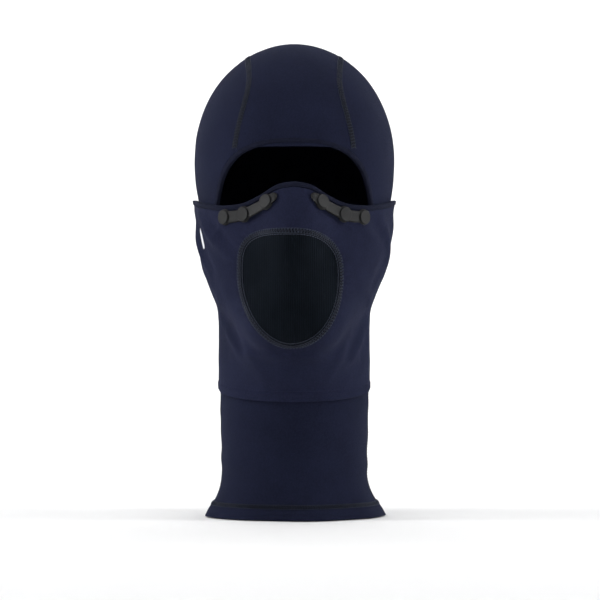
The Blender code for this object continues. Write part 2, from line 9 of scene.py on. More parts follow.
import bpy
import numpy as np
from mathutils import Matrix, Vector

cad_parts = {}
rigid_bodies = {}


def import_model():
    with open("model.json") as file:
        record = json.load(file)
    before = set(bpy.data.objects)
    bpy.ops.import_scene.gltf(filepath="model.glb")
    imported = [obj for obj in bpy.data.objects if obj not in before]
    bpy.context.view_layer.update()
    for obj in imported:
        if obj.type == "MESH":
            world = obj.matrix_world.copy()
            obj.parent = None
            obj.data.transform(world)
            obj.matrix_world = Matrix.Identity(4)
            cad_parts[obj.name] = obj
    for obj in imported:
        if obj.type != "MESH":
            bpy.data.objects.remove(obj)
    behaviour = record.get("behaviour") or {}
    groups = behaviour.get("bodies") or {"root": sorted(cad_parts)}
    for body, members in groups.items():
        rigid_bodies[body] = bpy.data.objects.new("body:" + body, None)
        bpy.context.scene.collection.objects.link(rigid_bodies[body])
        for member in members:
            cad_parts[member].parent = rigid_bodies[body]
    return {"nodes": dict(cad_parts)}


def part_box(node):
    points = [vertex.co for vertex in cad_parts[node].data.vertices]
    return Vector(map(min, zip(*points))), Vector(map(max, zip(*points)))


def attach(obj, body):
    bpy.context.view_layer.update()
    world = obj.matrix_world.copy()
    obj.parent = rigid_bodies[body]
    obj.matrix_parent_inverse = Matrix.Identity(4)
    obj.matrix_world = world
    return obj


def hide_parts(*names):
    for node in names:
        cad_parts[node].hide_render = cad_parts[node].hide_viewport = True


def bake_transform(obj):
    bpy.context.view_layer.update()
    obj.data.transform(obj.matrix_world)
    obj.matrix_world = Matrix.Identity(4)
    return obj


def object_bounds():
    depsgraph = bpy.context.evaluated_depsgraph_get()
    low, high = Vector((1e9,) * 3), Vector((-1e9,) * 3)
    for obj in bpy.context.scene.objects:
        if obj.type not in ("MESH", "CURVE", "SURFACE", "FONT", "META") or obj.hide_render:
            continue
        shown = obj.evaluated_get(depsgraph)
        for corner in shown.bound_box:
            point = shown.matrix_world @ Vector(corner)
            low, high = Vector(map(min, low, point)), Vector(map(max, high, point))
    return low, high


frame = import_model()
cad_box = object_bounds()

MM = 0.001

# ---- the head form, as in the frame

# Its volumes: centre and radii in mm.
SKULL = ((0, 4, 42), (75, 96, 87))
FACE = ((0, -22, -16), (65, 68, 68))
CHIN = ((0, -52, -68), (28, 36, 28))
NOSE = ((0, -86, -16), (17, 24, 28))
THROAT = ((0, -14, -106), (36, 44, 26))
JAW_ANGLE, JAW_FRONT, JAW_RADIUS = (45, -3, -36), (16, -68, -81), 14  # the jaw's lower edge
BLEND = 8.0 * MM  # how softly the volumes run into each other
CROWN_Z = 42 * MM  # above this height the cloth is a dome round the skull's centre

# The neck under it: height, centre behind the ears, half width and half depth, in mm.
NECK_TOP = 0
NECK_STATIONS = (
    (-40, 14, 54, 57),
    (-110, 19, 55, 58),
    (-160, 23, 55, 57),
    (-208, 28, 55, 57),
    (-235, 31, 68, 66),
)

# The line up the middle of the form that the cloth's points are pushed away from.
AXIS_HEIGHTS, AXIS_Y = (-0.235, -0.130, -0.050), (0.030, 0.018, 0.004)
AXIS_NEAR, AXIS_FAR = 0.02, 0.15  # all of the cloth lies between these distances from it
ROUGH_RADIUS = 0.1  # about where the cloth lies

# Cloth layers: distances of each outer face from the form, and thicknesses.
HOOD_FACE, HOOD_THICKNESS = 1.9 * MM, 1.3 * MM
MASK_FACE, MASK_THICKNESS = 5.4 * MM, 1.3 * MM
SEAM_GAP = 0.06 * MM

# Face opening, seams and edges, as in the frame.
OPENING_HALF_ANGLE = math.radians(46)
OPENING_TOP, OPENING_BOTTOM = 54 * MM, -104 * MM
OPENING_SQUARENESS = 2.5
BROW_CORNER, JAW_CORNER = 0.19, 0.84  # where seams meet the opening, 0 at the brow, 1 at the chin
BINDING_WIDTH = 4.0 * MM
CROWN_SEAM = ((40, -72, 104), (43, 0, 136), (42, 66, 112), (37, 98, 50), (31, 92, -10))
NAPE_END = (27, 72, -70)
CROWN_SEAM_CORNER = 4  # the point of the seam where the side panel turns its upper rear corner
NECK_TUBE_BOTTOM, HEM_BOTTOM = -223 * MM, -235 * MM
MASK_TOP = ((0, 17), (7, 14.5), (15, 6.5), (24, 1), (36, 0), (52, 2), (70, 5), (84, 6))
MASK_SIDE_ANGLE = math.radians(84)
MASK_BOTTOM_MIDDLE, MASK_BOTTOM_SIDE = -136 * MM, -128 * MM
MASK_HEM_WIDTH = 8 * MM
MOUTH_CENTRE = (-3 * MM, -49 * MM)
MOUTH_HALF_WIDTH = 38 * MM
MOUTH_UP, MOUTH_DOWN = 33 * MM, 52.5 * MM
MOUTH_UP_CORNERS, MOUTH_DOWN_CORNERS = (3.6, 2.6), (1.85, 2.15)  # right and left; 2 is an ellipse
STRIP_START, STRIP_END = math.radians(6.5), math.radians(37)
STRIP_WIDTH = 9.0 * MM
PAD_ANGLES = (11, 22, 33)  # degrees from the middle
PAD_FACE = 6.1 * MM
MARK_LENGTH, MARK_WIDTH, MARK_TILT = 17 * MM, 5 * MM, math.radians(24)
MARK_ANGLE, MARK_HEIGHT = math.radians(-60), -20 * MM

# Distances from the axis to the cloth, which turn lengths into angles.
OPENING_RADIUS = 0.09
MASK_RADIUS, CHEEK_RADIUS, EAR_RADIUS = 0.085, 0.08, 0.07
NECK_RADIUS, HEM_RADIUS = 0.06, 0.07

# Stitching.
THREAD_RADIUS = 0.26 * MM
LOOP_STEP, HEM_LOOP_STEP, NEEDLE_STEP = 2.3 * MM, 2.0 * MM, 2.4 * MM
SEAM_WIDTH, HEM_SEAM_WIDTH = 4.5 * MM, 3.2 * MM
BED_CROWN, BED_DEPTH = 0.16 * MM, 0.3 * MM
MOUTH_SEAM_MIDDLE, MOUTH_SEAM_WIDTH = 0.4 * MM, 3.4 * MM
NEEDLE_MIDDLE, NEEDLE_RADIUS = -2.3 * MM, 0.3 * MM
RIB_PITCH, RIB_HEIGHT = 1.35 * MM, 0.13 * MM
BINDING_ROWS = 11


def unit(vectors):
    """The same directions at length 1."""
    return vectors / np.linalg.norm(vectors, axis=-1, keepdims=True)


def oval_distance(points, centre, radii):
    radii = np.array(radii) * MM
    scaled = (points - np.array(centre) * MM) / radii
    reach = np.linalg.norm(scaled, axis=1) + 1e-9
    slope = np.linalg.norm(scaled / radii, axis=1) + 1e-9
    return reach * (reach - 1) / slope


def jaw_distance(points):
    one_side = np.column_stack([np.abs(points[:, 0]), points[:, 1:]])
    back, front = np.array(JAW_ANGLE) * MM, np.array(JAW_FRONT) * MM
    bar = front - back
    share = np.clip((one_side - back) @ bar / (bar @ bar), 0, 1)
    return np.linalg.norm(one_side - back - share[:, None] * bar, axis=1) - JAW_RADIUS * MM


def smooth_through(points, count):
    """Points at equal parameter steps on a smooth curve through the given ones."""
    points = np.asarray(points, float)
    padded = np.vstack([2 * points[0] - points[1], points, 2 * points[-1] - points[-2]])
    steps = np.linspace(0, len(points) - 1, count)
    index = np.minimum(steps.astype(int), len(points) - 2)
    t = (steps - index)[:, None]
    a, b, c, d = (padded[index + i] for i in range(4))
    return 0.5 * (2 * b + (c - a) * t + (2 * a - 5 * b + 4 * c - d) * t**2 + (3 * b - a - 3 * c + d) * t**3)


NECK_TABLE = smooth_through(NECK_STATIONS[::-1], 200) * MM


def neck_distance(points):
    heights, *columns = NECK_TABLE.T
    centre_y, half_width, half_depth = (np.interp(points[:, 2], heights, column) for column in columns)
    across = np.hypot(points[:, 0] / half_width, (points[:, 1] - centre_y) / half_depth)
    return np.maximum((across - 1) * np.minimum(half_width, half_depth), points[:, 2] - NECK_TOP * MM)


def form_distance(points):
    """Distance of each point outside the form, negative inside."""
    volumes = [oval_distance(points, *volume) for volume in (SKULL, FACE, CHIN, NOSE, THROAT)]
    volumes += [jaw_distance(points), neck_distance(points)]
    return -BLEND * np.log(sum(np.exp(-distance / BLEND) for distance in volumes))


def axis_y(height):
    return np.interp(height, AXIS_HEIGHTS, AXIS_Y)


def on_form(points, distance):
    """Push points away from the axis until they lie at a distance from the form."""
    points = np.asarray(points, float)
    flat = points.reshape(-1, 3)
    distance = np.broadcast_to(distance, points.shape[:-1]).reshape(-1)
    height = np.minimum(flat[:, 2], CROWN_Z)
    start = np.stack([np.zeros_like(height), axis_y(height), height], axis=1)
    away = unit(flat - start)
    near, far = np.full(len(flat), AXIS_NEAR), np.full(len(flat), AXIS_FAR)
    for _ in range(18):
        middle = (near + far) / 2
        inside = form_distance(start + away * middle[:, None]) < distance
        near, far = np.where(inside, middle, near), np.where(inside, far, middle)
    return (start + away * ((near + far) / 2)[:, None]).reshape(points.shape)


def form_normal(points, step=0.7 * MM):
    """The way out of the form at each point, from how the distance changes over a step."""
    flat = points.reshape(-1, 3)
    slopes = [form_distance(flat + step * axis) - form_distance(flat - step * axis) for axis in np.eye(3)]
    return unit(np.stack(slopes, axis=1)).reshape(points.shape)


def around(angle, height):
    """A rough place for each point of the cloth: an angle from the front, towards +X, and a height."""
    angle, height = np.broadcast_arrays(np.asarray(angle, float), np.asarray(height, float))
    y = axis_y(height) - np.cos(angle) * ROUGH_RADIUS
    return np.stack([np.sin(angle) * ROUGH_RADIUS, y, height], axis=-1)


def angle_of(points):
    """The angle from the front, towards +X, of each point."""
    return np.arctan2(points[..., 0], axis_y(points[..., 2]) - points[..., 1])


# ---- outlines


def power(value, exponent):
    """A power that keeps the value's sign."""
    return np.sign(value) * np.abs(value) ** exponent


def opening_edge(t, inset=0.0):
    """Angle and height of the face opening's edge: t is 0 at the brow, 1 at the chin."""
    turn = math.pi * (0.5 - np.asarray(t, float))
    middle, half = (OPENING_TOP + OPENING_BOTTOM) / 2, (OPENING_TOP - OPENING_BOTTOM) / 2
    angle = (OPENING_HALF_ANGLE - inset / OPENING_RADIUS) * power(np.cos(turn), 2 / OPENING_SQUARENESS)
    return angle, middle + (half - inset) * power(np.sin(turn), 2 / OPENING_SQUARENESS)


def resample(points, count):
    """The same line with its points at equal distances."""
    steps = np.linalg.norm(np.diff(points, axis=0), axis=1)
    along = np.concatenate([[0], np.cumsum(steps)])
    wanted = np.linspace(0, along[-1], count)
    return np.stack([np.interp(wanted, along, points[:, i]) for i in range(3)], axis=1)


def crown_seam(count_upper, count_rear):
    """The seam on the +X side from the brow to its rear corner, and from there to the nape."""
    rough = [around(*opening_edge(BROW_CORNER))] + [np.array(p) * MM for p in CROWN_SEAM + (NAPE_END,)]
    line = smooth_through(on_form(np.array(rough), 0), 400)
    corner = 399 * CROWN_SEAM_CORNER // (len(rough) - 1)
    return resample(line[: corner + 1], count_upper), resample(line[corner:], count_rear)


def nape_angle():
    return float(angle_of(on_form(np.array([NAPE_END]) * MM, 0))[0])


def neck_seam_height(angle):
    """Height of the top of the neck tube: the opening's edge in front, the neck seam behind."""
    angle = np.abs(np.asarray(angle, float))
    edge_angle, edge_height = opening_edge(np.linspace(JAW_CORNER, 1, 60))
    seam = np.interp(angle, (edge_angle[0], nape_angle()), (edge_height[0], NAPE_END[2] * MM))
    return np.where(angle < edge_angle[0], np.interp(angle, edge_angle[::-1], edge_height[::-1]), seam)


def brow_height(angle):
    edge_angle, edge_height = opening_edge(np.linspace(0, BROW_CORNER, 60))
    return np.interp(np.abs(angle), edge_angle, edge_height)


def mask_top_height(angle):
    table = smooth_through(MASK_TOP, 200)
    return np.interp(np.abs(angle), np.radians(table[:, 0]), table[:, 1] * MM)


def mask_bottom_height(angle):
    share = (np.asarray(angle) / MASK_SIDE_ANGLE) ** 2
    return MASK_BOTTOM_MIDDLE + (MASK_BOTTOM_SIDE - MASK_BOTTOM_MIDDLE) * share


def mouth_edge(turn, grow=0.0):
    """x and z of the mouth panel's outline in each direction, grown outwards by a distance."""
    turn = np.asarray(turn, float)
    up, left = np.sin(turn) > 0, (np.cos(turn) > 0).astype(int)
    squareness = np.where(up, np.take(MOUTH_UP_CORNERS, left), np.take(MOUTH_DOWN_CORNERS, left))
    half_height = np.where(up, MOUTH_UP, MOUTH_DOWN) + grow
    across = np.abs(np.cos(turn) / (MOUTH_HALF_WIDTH + grow)) ** squareness
    upright = np.abs(np.sin(turn) / half_height) ** squareness
    radius = (across + upright) ** (-1 / squareness)
    return MOUTH_CENTRE[0] + radius * np.cos(turn), MOUTH_CENTRE[1] + radius * np.sin(turn)


def front_angle(x, height):
    """The angle at which the mask has this x at this height."""
    x, height = np.broadcast_arrays(np.asarray(x, float), np.asarray(height, float))
    low, high = np.zeros_like(x), np.full_like(x, math.radians(75))
    for _ in range(16):
        middle = (low + high) / 2
        short = np.abs(on_form(around(middle, height), MASK_FACE)[..., 0]) < np.abs(x)
        low, high = np.where(short, middle, low), np.where(short, high, middle)
    return np.sign(x) * (low + high) / 2


def mouth_loop(turn, grow=0.0):
    x, z = mouth_edge(turn, grow)
    return front_angle(x, z), z


def ring_turns(count):
    return np.arange(count) / count * 2 * math.pi


def grid_between(first, second, rows):
    """Rows of points from one line to another, each line given as angles and heights."""
    share = np.linspace(0, 1, rows)[:, None]
    angle = first[0] * (1 - share) + second[0] * share
    height = first[1] * (1 - share) + second[1] * share
    return around(angle, height)


def on_side(points, side):
    """Points of the +X half, moved to the side that is 1 or -1."""
    return points * np.array([side, 1, 1])


# ---- folds of the worn cloth


MM_PER_DEGREE = 1.35  # along the cloth, round the face


def bump(value, width):
    """A smooth hump of height 1 and this half width."""
    return np.exp(-((value / width) ** 2))


def fold(points, start, end, width):
    """A soft ridge of height 1 along a line from start to end, given as angle in degrees and z in mm."""
    place = np.stack([np.degrees(angle_of(points)) * MM_PER_DEGREE, points[..., 2] / MM], axis=-1)
    a, b = (np.array([degrees * MM_PER_DEGREE, up], float) for degrees, up in (start, end))
    line = b - a
    share = np.clip((place - a) @ line / (line @ line), 0, 1)
    away = np.linalg.norm(place - a - share[..., None] * line, axis=-1)
    return bump(away, width) * np.sin(math.pi * np.clip(share, 0.12, 0.88))


def ripple(points, seed, size):
    """Slow uneven waves of about this size, between -1 and 1, the same each run."""
    turns = np.random.default_rng(seed)
    total = np.zeros(points.shape[:-1])
    for _ in range(7):
        way = turns.normal(size=3)
        way *= 2 * math.pi / (size * turns.uniform(0.7, 1.6) * np.linalg.norm(way))
        total += np.sin(points @ way + turns.uniform(0, 6.28))
    return total / 4


# Folds: start and end in degrees from the middle and mm up, half width and height in mm.
MASK_FOLDS = (
    ((-82, 0), (-54, -48), 3.6, 2.5),
    ((-72, 0), (-48, -42), 3.2, -2.0),
    ((-60, -2), (-32, -34), 4.2, 2.8),
    ((-48, -2), (-30, -24), 3.2, -1.7),
    ((-36, -8), (-42, -22), 3.0, 1.2),
    ((-74, -36), (-50, -64), 5.0, 1.3),
    ((26, -6), (44, -22), 4.0, 1.2),
    ((36, -4), (54, -22), 4.0, -1.0),
    ((50, -6), (76, -48), 5.5, 2.2),
    ((70, 2), (80, -34), 4.0, 1.8),
    ((62, -30), (46, -66), 6.0, -1.2),
    ((-10, 0), (-24, -12), 3.0, -1.0),
    ((10, 0), (24, -12), 3.0, -1.0),
    ((38, -58), (70, -80), 6.0, 1.4),
    ((-40, -60), (-72, -82), 6.0, 1.6),
    ((36, -92), (22, -126), 5.5, 1.7),
    ((-34, -90), (-20, -124), 5.5, 1.8),
    ((-62, -84), (-30, -114), 5.0, 2.2),
    ((66, -86), (34, -118), 5.0, 2.0),
    ((-50, -108), (50, -112), 4.0, 1.5),
)


def at_side_seam(points):
    """1 along the mask's side seams, where it meets the hood; 0 over the face and at the free top corners."""
    toward_edge = np.clip((np.degrees(np.abs(angle_of(points))) - 68) / 14, 0, 1)
    below_corner = np.clip((4 - points[..., 2] / MM) / 22, 0, 1)
    return toward_edge**2 * (3 - 2 * toward_edge) * below_corner


def mask_shape(points):
    """How far the mask's cloth stands off its even layer."""
    total = 0.40 * MM * ripple(points, 3, 0.05) + 0.16 * MM * ripple(points, 4, 0.02)
    for start, end, width, height in MASK_FOLDS:
        total = total + height * MM * fold(points, start, end, width)
    return np.maximum(total, -1.0 * MM) - 1.7 * MM * at_side_seam(points)


HOOD_FOLDS = (
    ((150, -52), (105, -74), 5.0, 0.9),
    ((-150, -56), (-108, -76), 5.0, 0.8),
    ((160, -82), (-165, -90), 5.0, 1.0),
    ((52, 46), (80, 62), 7.0, 0.5),
    ((-52, 44), (-84, 58), 7.0, 0.6),
    ((112, -20), (140, -52), 7.0, 0.7),
    ((-112, -16), (-138, -50), 7.0, 0.7),
)
# Folds round the neck: height, half width and rise in mm, and where round the neck each one is strong.
NECK_FOLDS = ((-150, 5.0, 0.8, 0.6), (-171, 7.0, 1.2, 2.1), (-192, 5.5, 0.9, 4.0))


def seam_pucker(points):
    """Small gathers in the cloth close to the crown seams."""
    seam = np.vstack(crown_seam(90, 80))
    flat = points.reshape(-1, 3).copy()
    flat[:, 0] = np.abs(flat[:, 0])
    along, away = np.zeros(len(flat)), np.ones(len(flat))
    for i, place in enumerate(seam):
        distance = np.linalg.norm(flat - place, axis=1)
        closer = distance < away
        along[closer], away[closer] = i, distance[closer]
    gather = bump(away - 5 * MM, 5 * MM) * np.sin(along * 1.9 + 2 * np.sin(along * 0.31))
    return (gather - 1.5 * bump(away, 3 * MM)).reshape(points.shape[:-1])


def hood_shape(points):
    """How far the cloth of the hood and neck stands off its even layer."""
    height = points[..., 2] / MM
    angle = angle_of(points)
    total = 0.32 * MM * ripple(points, 5, 0.06) + 0.10 * MM * ripple(points, 6, 0.02)
    total = total + 0.16 * MM * seam_pucker(points)
    for start, end, width, rise in HOOD_FOLDS:
        total = total + rise * MM * fold(points, start, end, width)
    for middle, width, rise, phase in NECK_FOLDS:
        wander = middle + 4 * np.sin(angle + phase) + 2 * np.sin(3 * angle + 2 * phase)
        strength = rise * (0.65 + 0.35 * np.sin(2 * angle + phase))
        total = total + strength * MM * bump(height - wander, width)
    flare = np.clip((-205 - height) / 30, 0, 1)
    return total + flare * MM * (1.5 * np.sin(5 * angle + 0.6) + 0.8 * np.sin(8 * angle))


# ---- building meshes


def make_object(name, points, faces, uvs, material):
    mesh = bpy.data.meshes.new(name)
    mesh.from_pydata(points.tolist(), [], faces)
    if uvs is not None:
        layer = mesh.uv_layers.new(name="cloth")
        corners = np.empty(len(mesh.loops), dtype=np.int32)
        mesh.loops.foreach_get("vertex_index", corners)
        layer.data.foreach_set("uv", uvs[corners].astype(np.float32).ravel())
    mesh.materials.append(material)
    mesh.shade_smooth()
    mesh.set_sharp_from_angle(angle=math.radians(60))
    made = bpy.data.objects.new(name, mesh)
    bpy.context.scene.collection.objects.link(made)
    return made


def quads(rows, columns, closed):
    """Vertex numbers of the quads of a grid, wound to face outwards when columns run anticlockwise."""
    r = np.arange(rows - 1)[:, None]
    c = np.arange(columns if closed else columns - 1)[None, :]
    n = (c + 1) % columns
    first, second = r * columns + c, r * columns + n
    return np.stack([first, second, second + columns, first + columns], -1).reshape(-1, 4)


def layer_faces(rows, columns, closed):
    """Faces of a closed layer whose outer grid comes first and inner grid second."""
    outer = quads(rows, columns, closed)
    inside = rows * columns
    c = np.arange(columns if closed else columns - 1)
    n = (c + 1) % columns
    top_wall = np.stack([n, c, c + inside, n + inside], -1)
    bottom_wall = (rows - 1) * columns + np.stack([c, n, n + inside, c + inside], -1)
    walls = [top_wall, bottom_wall]
    if not closed:
        r = np.arange(rows - 1) * columns
        last = r + columns - 1
        walls.append(np.stack([r, r + columns, r + columns + inside, r + inside], -1))
        walls.append(np.stack([last + columns, last, last + inside, last + columns + inside], -1))
    return np.vstack([outer, outer[:, ::-1] + inside] + walls)


def facing_out(outer):
    """Whether a grid's quads face away from the head's axis."""
    middle = tuple(s // 2 for s in outer.shape[:2])
    here = outer[middle]
    right = outer[middle[0], middle[1] + 1] - here
    down = outer[middle[0] + 1, middle[1]] - here
    out = here - np.array([0, axis_y(here[2]), min(here[2], CROWN_Z)])
    return np.dot(np.cross(right, down), out) > 0


def cloth_layer(base, face, rise, thickness, closed=False):
    """Vertices and faces of a layer whose outer face rises above a distance from the form."""
    outer = on_form(base, face + rise)
    inner = on_form(base, face + rise - thickness)
    faces = layer_faces(*base.shape[:2], closed)
    if not facing_out(outer):
        faces = faces[:, ::-1]
    return np.vstack([outer.reshape(-1, 3), inner.reshape(-1, 3)]), faces.tolist()


def uv_grid(across, down):
    """The cloth's own coordinates at each point of a grid."""
    return np.stack(np.broadcast_arrays(across, down), axis=-1)


def cloth(name, grid, face, thickness, material, shape, closed=False, uv=None):
    """A layer of cloth over a grid of points: its outer face at a distance from the form."""
    base = on_form(grid, face)
    points, faces = cloth_layer(base, face, shape(base), thickness, closed)
    if uv is None:
        uv = uv_grid(angle_of(base) * MASK_RADIUS, base[..., 2])
    uvs = np.vstack([uv.reshape(-1, 2), uv.reshape(-1, 2)])
    return make_object(name, points, faces, uvs, material)


def shrink(grid):
    """Move the border of a grid inwards by the gap of a seam."""
    pulled = grid.copy()
    for edge, beside in ((0, 1), (-1, -2)):
        pulled[edge] += unit(grid[beside] - grid[edge]) * SEAM_GAP
        pulled[:, edge] += unit(grid[:, beside] - grid[:, edge]) * SEAM_GAP
    return pulled


def tubes(paths, normals, radius, sides=6):
    """Vertices and faces of round threads along paths: (threads, points, 3), with ends closed."""
    along = unit(np.gradient(paths, axis=1))
    across = unit(np.cross(along, normals))
    up = np.cross(across, along)
    turn = ring_turns(sides)
    ring = across[:, :, None] * np.cos(turn)[:, None] + up[:, :, None] * np.sin(turn)[:, None]
    points = paths[:, :, None] + radius * ring
    count, length = paths.shape[:2]
    wall = quads(length, sides, True)[:, ::-1]
    walls, caps = [], []
    for first in range(0, count * length * sides, length * sides):
        last = first + (length - 1) * sides
        walls.append(wall + first)
        caps.append(list(range(first, first + sides)))
        caps.append(list(range(last, last + sides))[::-1])
    return points.reshape(-1, 3), np.vstack(walls).tolist() + caps


def join_lots(parts):
    """Several lots of vertices and faces as one."""
    points, faces, first = [], [], 0
    for some_points, some_faces in parts:
        points.append(some_points)
        faces += [[v + first for v in face] for face in some_faces]
        first += len(some_points)
    return np.vstack(points), faces


def surface_frame(path, closed):
    """Along, outward and sideways directions at each point of a path on the form."""
    if closed:
        along = np.roll(path, -1, axis=0) - np.roll(path, 1, axis=0)
    else:
        along = np.gradient(path, axis=0)
    along, normal = unit(along), form_normal(path)
    return along, normal, unit(np.cross(along, normal))


def even_path(points, step, closed):
    """A path resampled to a whole number of steps."""
    if closed:
        points = np.vstack([points, points[:1]])
    length = np.linalg.norm(np.diff(points, axis=0), axis=1).sum()
    count = max(4, int(round(length / step)))
    path = resample(points, count + 1)
    return path[:-1] if closed else path


def seam_bed(path, width, closed):
    """The flat band of close threads that the raised loops of a seam lie on."""
    _, normal, side = surface_frame(path, closed)
    across = np.linspace(-0.5, 0.5, 7)
    crown = BED_CROWN * np.sqrt(1 - (2 * np.abs(across)) ** 4)
    outer = path + (side * width)[None] * across[:, None, None] + normal[None] * crown[:, None, None]
    inner = outer - normal[None] * BED_DEPTH
    return np.vstack([outer.reshape(-1, 3), inner.reshape(-1, 3)]), layer_faces(7, len(path), closed).tolist()


def rows_along(path, directions, forward, sideways, outward):
    """A short row of points at each point of a path, at these distances from it."""
    along, normal, side = directions
    rows = path[:, None] + side[:, None] * sideways[:, None]
    return rows + along[:, None] * forward[:, None] + normal[:, None] * outward[:, None]


def threads(rows, normal, radius):
    """A thread through each row of points."""
    return tubes(rows, np.repeat(normal[:, None], rows.shape[1], axis=1), radius)


def cover_stitch(name, path, width, lift, material, closed=False, step=LOOP_STEP):
    """Cover stitch along a path: raised loops laid across a flat band, and a needle row at each side."""
    path = even_path(path, step, closed)
    directions = surface_frame(path, closed)
    normal = directions[1]
    reach = np.linspace(-0.5, 0.5, 7)
    rise = lift + THREAD_RADIUS * (0.5 + 1.6 * (1 - (2 * np.abs(reach)) ** 2.5))
    bed = seam_bed(path + normal * lift, width * 0.96, closed)
    parts = [bed]
    for lean, shift, share in ((0.10, 0.0, 1.0), (-0.75, 0.5, 0.62)):
        loops = rows_along(path, directions, (reach * lean + shift) * step, reach * width, rise * share)
        parts.append(threads(loops, normal, THREAD_RADIUS * share))
    dash = np.linspace(-0.46, 0.46, 5)
    height = lift + THREAD_RADIUS * (0.2 + 1.3 * np.cos(dash * math.pi))
    for edge in (-0.5, 0.5):
        dashes = rows_along(path, directions, dash * step, np.full(5, edge * width), height)
        parts.append(threads(dashes, normal, THREAD_RADIUS * 0.8))
    points, faces = join_lots(parts)
    made = make_object(name, points, faces, None, material)
    # The band under the loops gets a darker copy of the thread colour: painted shade between the raised
    # loops.
    made.data.materials.append(SEAM_BED_SHADE)
    for polygon in made.data.polygons[: len(bed[1])]:
        polygon.material_index = 1
    return made


def needle_stitch(name, path, lift, material):
    """A closed row of single stitches, each sunk at both ends."""
    path = even_path(path, NEEDLE_STEP, True)
    directions = surface_frame(path, True)
    dash = np.linspace(-0.43, 0.43, 7)
    height = lift + NEEDLE_RADIUS * (-0.9 + 2.0 * np.cos(dash * math.pi))
    rows = rows_along(path, directions, dash * NEEDLE_STEP, np.zeros(7), height)
    points, faces = threads(rows, directions[1], NEEDLE_RADIUS)
    return make_object(name, points, faces, None, material)


# ---- materials


NAP_SHEEN, NAP_TINT = 0.04, (0.45, 0.52, 0.85)


def new_material(name, colour, roughness, sheen=0.0, sheen_tint=(1, 1, 1), metallic=0.0, specular=0.03):
    made = bpy.data.materials.new(name)
    made.use_nodes = True
    shader = made.node_tree.nodes["Principled BSDF"]
    values = {
        "Base Color": (*colour, 1),
        "Roughness": roughness,
        "Metallic": metallic,
        "Sheen Weight": sheen,
        "Sheen Roughness": 0.45,
        "Sheen Tint": (*sheen_tint, 1),
        "Specular IOR Level": specular,
    }
    for socket, value in values.items():
        shader.inputs[socket].default_value = value
    return made


class Nodes:
    """Short calls for wiring a material's nodes."""

    def __init__(self, material):
        self.tree = material.node_tree
        self.shader = self.tree.nodes["Principled BSDF"]

    def add(self, kind, values=None, **settings):
        """A new node with these values on its inputs."""
        node = self.tree.nodes.new(kind)
        for key, value in settings.items():
            setattr(node, key, value)
        for socket, value in (values or {}).items():
            node.inputs[socket].default_value = value
        return node

    def link(self, source, target):
        self.tree.links.new(source, target)

    def math(self, operation, a, b=None):
        node = self.add("ShaderNodeMath", operation=operation)
        for socket, value in zip(node.inputs, (a, b)):
            if value is None:
                continue
            if hasattr(value, "links"):
                self.link(value, socket)
            else:
                socket.default_value = value
        return node.outputs[0]

    def cloth_place(self, scale):
        """The cloth's own coordinates times a scale."""
        source = self.add("ShaderNodeUVMap", uv_map="cloth")
        node = self.add("ShaderNodeMapping", {"Scale": scale})
        self.link(source.outputs[0], node.inputs[0])
        return node.outputs[0]

    def noise(self, scale, detail=3.0, roughness=0.5, place=None):
        """Noise from 0 to 1, over the object's coordinates unless a place is given."""
        place = place or self.add("ShaderNodeTexCoord").outputs["Object"]
        node = self.add("ShaderNodeTexNoise", {"Scale": scale, "Detail": detail, "Roughness": roughness})
        self.link(place, node.inputs["Vector"])
        return node.outputs["Fac"]

    def between(self, value, low, high):
        """A value from 0 to 1 turned into one from low to high."""
        node = self.add("ShaderNodeMapRange", {"To Min": low, "To Max": high})
        self.link(value, node.inputs["Value"])
        return node.outputs[0]

    def colour_by(self, amount, dark, light):
        """Colour the surface from dark to light by an amount."""
        # A mix node's colour sockets are inputs 6 and 7 and output 2.
        node = self.add("ShaderNodeMix", {6: (*dark, 1), 7: (*light, 1)}, data_type="RGBA")
        self.link(amount, node.inputs[0])
        self.link(node.outputs[2], self.shader.inputs["Base Color"])

    def roughen_by(self, amount, low, high):
        self.link(self.between(amount, low, high), self.shader.inputs["Roughness"])

    def clamp(self, value):
        node = self.add("ShaderNodeClamp")
        self.link(value, node.inputs[0])
        return node.outputs[0]

    def raise_by(self, height, distance, strength):
        node = self.add("ShaderNodeBump", {"Strength": strength, "Distance": distance})
        self.link(height, node.inputs["Height"])
        self.link(node.outputs[0], self.shader.inputs["Normal"])


def knit_height(nodes, wale, course):
    """Small V-shaped stitches: columns a wale apart, rows a course apart, in metres."""
    place = nodes.cloth_place((1 / wale, 1 / course, 1))
    parts = nodes.add("ShaderNodeSeparateXYZ")
    nodes.link(place, parts.inputs[0])
    column = nodes.math("PINGPONG", parts.outputs[0], 0.5)
    slanted = nodes.math("ADD", parts.outputs[1], column)
    rows = nodes.math("SINE", nodes.math("MULTIPLY", slanted, 2 * math.pi))
    ridge = nodes.math("SINE", nodes.math("MULTIPLY", column, 2 * math.pi))
    return nodes.math("ADD", nodes.math("MULTIPLY", rows, 0.25), nodes.math("MULTIPLY", ridge, 0.5))


def fleece_material(name, dark, light, wale, course, depth):
    """A matt stretch knit: fine stitches with painted shade in their grooves, a short nap and slow random
    changes of tone.
    """
    made = new_material(name, dark, 0.9, NAP_SHEEN, NAP_TINT)
    nodes = Nodes(made)
    height = knit_height(nodes, wale, course)
    fuzz = nodes.noise(2600, 2.0, 0.6)
    heather = nodes.noise(800, 2.0, 0.7)
    patches = nodes.noise(22, 4.0, 0.6)
    # Painted shade: the knit's grooves are coloured darker; fuzz, heather and patches add random tone.
    shade = nodes.math("ADD", nodes.math("MULTIPLY", height, 0.35), nodes.between(fuzz, -0.3, 0.3))
    shade = nodes.math("ADD", shade, nodes.between(heather, -0.5, 0.7))
    shade = nodes.math("ADD", shade, nodes.between(patches, 0.0, 0.8))
    nodes.colour_by(nodes.clamp(shade), dark, light)
    nodes.roughen_by(patches, 0.82, 0.97)
    nodes.raise_by(nodes.math("ADD", height, nodes.math("MULTIPLY", fuzz, 0.9)), depth, 0.8)
    return made


